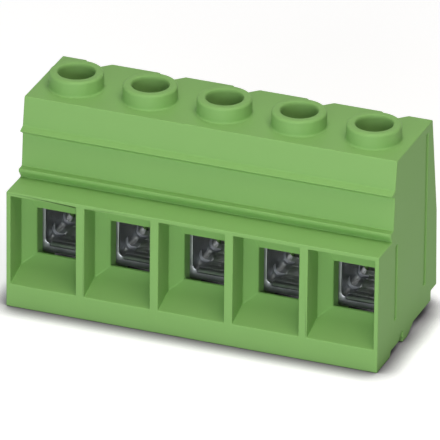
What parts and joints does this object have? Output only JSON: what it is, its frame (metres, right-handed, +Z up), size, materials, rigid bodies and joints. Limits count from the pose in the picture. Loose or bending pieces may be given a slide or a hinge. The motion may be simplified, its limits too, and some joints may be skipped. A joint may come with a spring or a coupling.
{
  "type": "pcb screw terminal",
  "caption": "Green screw terminal row for a printed board: single-pole housings with wire funnels, collared screw holes and lift clamps that grip each wire from below.",
  "frame": {"origin": "board surface, midway between the two solder pins of the middle pole", "axes": "+X along the row, -Y towards the wire side, +Z up off the board"},
  "size_m": [0.051, 0.0219, 0.0337],
  "materials": {
    "housing_plastic": "moulded polyamide, fine satin, light green",
    "screw_steel": "turned steel, zinc plated",
    "sleeve_steel": "folded steel strip, zinc plated",
    "bar_copper": "stamped copper alloy, tin plated"
  },
  "bodies": {
    "block": {"housing_1": "housing_plastic", "housing_2": "housing_plastic", "housing_3": "housing_plastic", "housing_4": "housing_plastic", "housing_5": "housing_plastic", "current_bar_1": "bar_copper", "current_bar_2": "bar_copper", "current_bar_3": "bar_copper", "current_bar_4": "bar_copper", "current_bar_5": "bar_copper"},
    "screw_1": {"clamp_screw_1": "screw_steel"},
    "sleeve_1": {"clamp_sleeve_1": "sleeve_steel"},
    "screw_2": {"clamp_screw_2": "screw_steel"},
    "sleeve_2": {"clamp_sleeve_2": "sleeve_steel"},
    "screw_3": {"clamp_screw_3": "screw_steel"},
    "sleeve_3": {"clamp_sleeve_3": "sleeve_steel"},
    "screw_4": {"clamp_screw_4": "screw_steel"},
    "sleeve_4": {"clamp_sleeve_4": "sleeve_steel"},
    "screw_5": {"clamp_screw_5": "screw_steel"},
    "sleeve_5": {"clamp_sleeve_5": "sleeve_steel"}
  },
  "joints": [
    {"name": "screw_turn_1", "type": "hinge", "parent": "block", "child": "screw_1", "pos_m": [-0.02032, -0.00585, 0.02], "axis": [0, 0, -1], "range_deg": [0, 3240]},
    {"name": "sleeve_lift_1", "type": "slide", "parent": "block", "child": "sleeve_1", "axis": [0, 0, 1], "range_m": [0, 0.0063]},
    {"name": "screw_turn_2", "type": "hinge", "parent": "block", "child": "screw_2", "pos_m": [-0.01016, -0.00585, 0.02], "axis": [0, 0, -1], "range_deg": [0, 3240]},
    {"name": "sleeve_lift_2", "type": "slide", "parent": "block", "child": "sleeve_2", "axis": [0, 0, 1], "range_m": [0, 0.0063]},
    {"name": "screw_turn_3", "type": "hinge", "parent": "block", "child": "screw_3", "pos_m": [0, -0.00585, 0.02], "axis": [0, 0, -1], "range_deg": [0, 3240]},
    {"name": "sleeve_lift_3", "type": "slide", "parent": "block", "child": "sleeve_3", "axis": [0, 0, 1], "range_m": [0, 0.0063]},
    {"name": "screw_turn_4", "type": "hinge", "parent": "block", "child": "screw_4", "pos_m": [0.01016, -0.00585, 0.02], "axis": [0, 0, -1], "range_deg": [0, 3240]},
    {"name": "sleeve_lift_4", "type": "slide", "parent": "block", "child": "sleeve_4", "axis": [0, 0, 1], "range_m": [0, 0.0063]},
    {"name": "screw_turn_5", "type": "hinge", "parent": "block", "child": "screw_5", "pos_m": [0.02032, -0.00585, 0.02], "axis": [0, 0, -1], "range_deg": [0, 3240]},
    {"name": "sleeve_lift_5", "type": "slide", "parent": "block", "child": "sleeve_5", "axis": [0, 0, 1], "range_m": [0, 0.0063]}
  ],
  "couplings": [
    {"joint": "screw_turn_1", "follows": "sleeve_lift_1", "rad_per_m": 8975.9},
    {"joint": "screw_turn_2", "follows": "sleeve_lift_2", "rad_per_m": 8975.9},
    {"joint": "screw_turn_3", "follows": "sleeve_lift_3", "rad_per_m": 8975.9},
    {"joint": "screw_turn_4", "follows": "sleeve_lift_4", "rad_per_m": 8975.9},
    {"joint": "screw_turn_5", "follows": "sleeve_lift_5", "rad_per_m": 8975.9}
  ]
}
